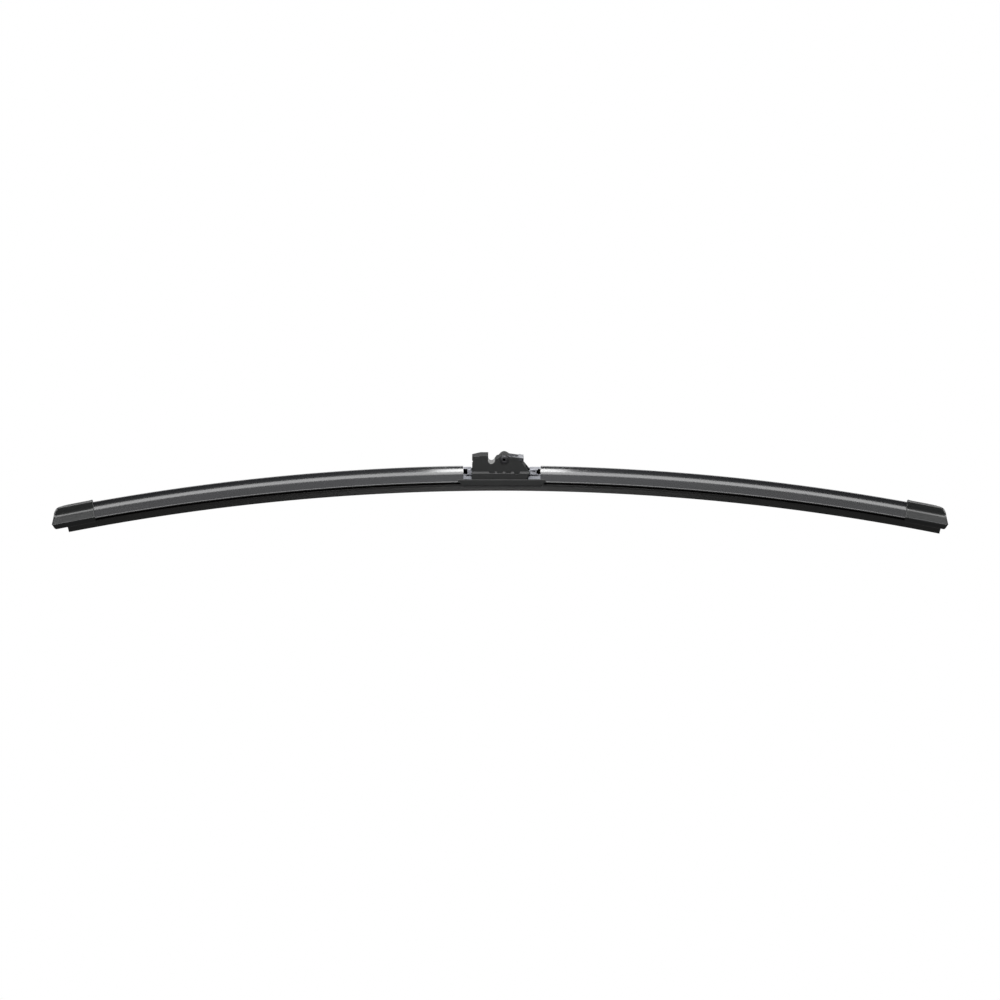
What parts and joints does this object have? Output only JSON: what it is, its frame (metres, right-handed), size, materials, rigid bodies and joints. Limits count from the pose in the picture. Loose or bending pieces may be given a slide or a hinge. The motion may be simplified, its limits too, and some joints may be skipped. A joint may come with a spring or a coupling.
{
  "type": "wiper blade",
  "caption": "Bowed flat wiper blade: a rubber lip on twin spring rails under a hollow wind spoiler, capped ends, and a rocking adapter notched for the arm's cross pin.",
  "frame": {"origin": "axis of the adapter's pin seat, on the blade's middle plane: where the wiper arm holds the blade", "axes": "+X along the blade, -Y the windward side, +Z away from the glass"},
  "size_m": [0.5957, 0.0182, 0.0547],
  "materials": {
    "wiping_rubber": "matt, graphite coated",
    "spring_steel": "black coated spring steel",
    "spoiler_extrusion": "satin black extruded elastomer",
    "cap_moulding": "fine grained black moulding",
    "cover_moulding": "fine grained black moulding",
    "adapter_moulding": "fine grained black moulding",
    "plated_steel": "dull zinc plate",
    "black_steel": "blackened steel"
  },
  "bodies": {
    "arm_adapter": {"adapter_body": "adapter_moulding", "lock_spring": "plated_steel"},
    "blade": {"wiper_rubber": "wiping_rubber", "spring_rail_front": "spring_steel", "spring_rail_rear": "spring_steel", "spoiler_left": "spoiler_extrusion", "spoiler_right": "spoiler_extrusion", "end_cap_left": "cap_moulding", "end_cap_right": "cap_moulding", "clamp_left": "plated_steel", "clamp_right": "plated_steel", "pivot_bracket": "plated_steel", "base_cover": "cover_moulding", "pivot_rivet": "black_steel", "pivot_bush": "plated_steel"}
  },
  "joints": [
    {"name": "blade_rock", "type": "hinge", "parent": "arm_adapter", "child": "blade", "pos_m": [0.00851, 0, 0.00065], "axis": [0, 1, 0], "range_deg": [-10, 10]}
  ]
}
